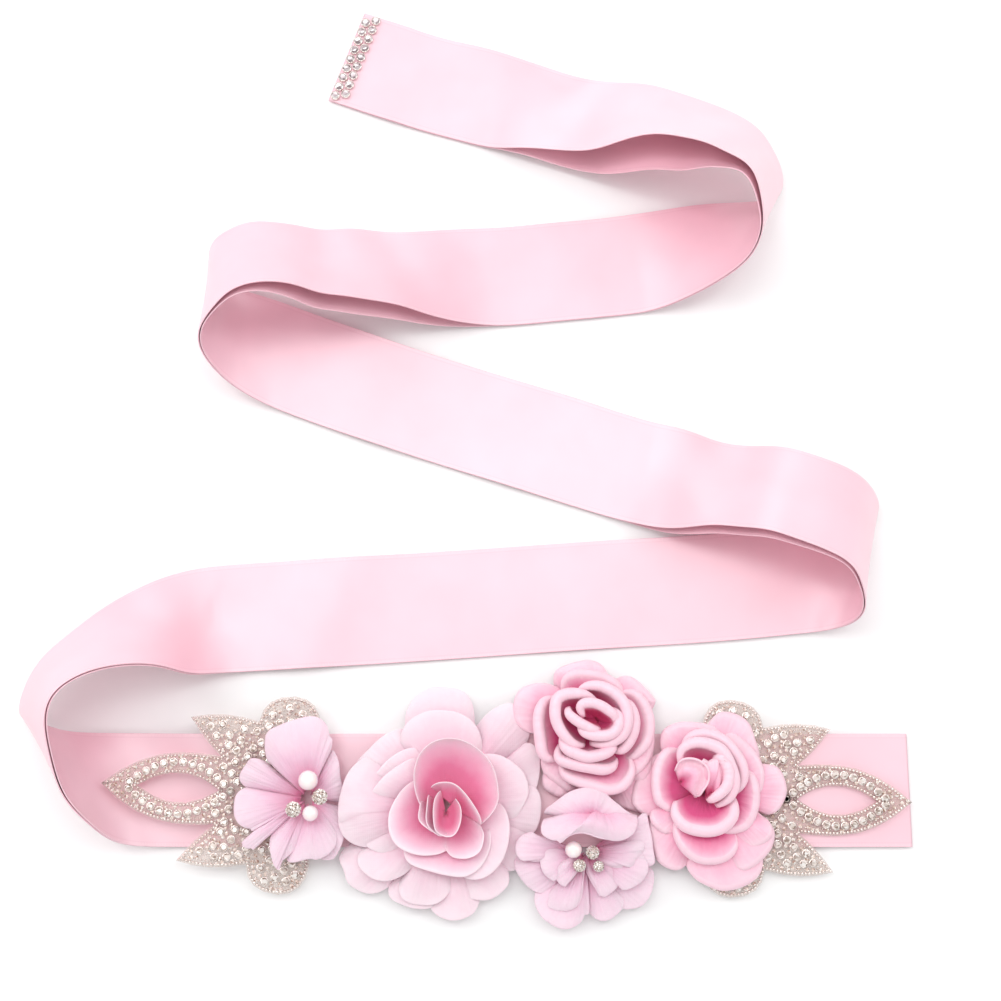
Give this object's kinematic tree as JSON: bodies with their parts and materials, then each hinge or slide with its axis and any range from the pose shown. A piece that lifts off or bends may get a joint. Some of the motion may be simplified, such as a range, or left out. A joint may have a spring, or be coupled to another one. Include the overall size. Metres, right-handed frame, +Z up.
{
  "type": "satin sash",
  "caption": "Belt sash of two satin ribbons back to back, laid out in loops, with sewn cloth flowers and beaded sprays on one end and rhinestone rows at the other.",
  "frame": {"origin": "on the table, under the middle of the laid-out sash's box", "axes": "+Z up from the table, +X along the flowered stretch from its loop to its free end, -Y the side with the flowers, +Y the plain end with rows of stones"},
  "size_m": [0.3224, 0.3534, 0.045],
  "materials": {
    "face_satin": "pale pink satin ribbon",
    "back_satin": "pale pink satin ribbon, the second layer",
    "chiffon": "lilac-pink chiffon and organza petals",
    "rose_satin": "pink satin petals",
    "net": "fine pale net under the beading",
    "beading": "clear rhinestones in silver cups, with silver beads",
    "pearl": "glossy pearl bead",
    "stone": "faceted clear rhinestone"
  },
  "bodies": {
    "root": {"face_ribbon_stretch_1": "face_satin", "back_ribbon_stretch_1": "back_satin", "face_ribbon_bend_1": "face_satin", "back_ribbon_bend_1": "back_satin", "face_ribbon_stretch_2": "face_satin", "back_ribbon_stretch_2": "back_satin", "face_ribbon_bend_2": "face_satin", "back_ribbon_bend_2": "back_satin", "face_ribbon_stretch_3": "face_satin", "back_ribbon_stretch_3": "back_satin", "face_ribbon_bend_3": "face_satin", "back_ribbon_bend_3": "back_satin", "face_ribbon_stretch_4": "face_satin", "back_ribbon_stretch_4": "back_satin", "face_ribbon_bend_4": "face_satin", "back_ribbon_bend_4": "back_satin", "face_ribbon_stretch_5": "face_satin", "back_ribbon_stretch_5": "back_satin", "spray_left_net": "net", "spray_left_beading": "beading", "spray_right_net": "net", "spray_right_beading": "beading", "stone_row_outer": "beading", "stone_row_inner": "beading", "chiffon_flower_left_layer_1": "chiffon", "chiffon_flower_left_layer_2": "chiffon", "chiffon_rose_layer_1": "chiffon", "chiffon_rose_layer_2": "chiffon", "chiffon_rose_layer_3": "chiffon", "chiffon_rose_layer_4": "chiffon", "chiffon_rose_bud": "chiffon", "satin_rose_top_layer_1": "rose_satin", "satin_rose_top_layer_2": "rose_satin", "satin_rose_top_layer_3": "rose_satin", "satin_rose_top_bud": "rose_satin", "chiffon_flower_right_layer_1": "chiffon", "chiffon_flower_right_layer_2": "chiffon", "satin_rose_right_layer_1": "rose_satin", "satin_rose_right_layer_2": "rose_satin", "satin_rose_right_layer_3": "rose_satin", "satin_rose_right_bud": "rose_satin", "chiffon_flower_left_pearl_large": "pearl", "chiffon_flower_left_pearl_small": "pearl", "chiffon_flower_left_stone_a": "stone", "chiffon_flower_left_stone_b": "stone", "chiffon_flower_right_pearl_large": "pearl", "chiffon_flower_right_stone_a": "stone", "chiffon_flower_right_stone_b": "stone", "chiffon_flower_right_stone_small": "stone"}
  },
  "joints": []
}
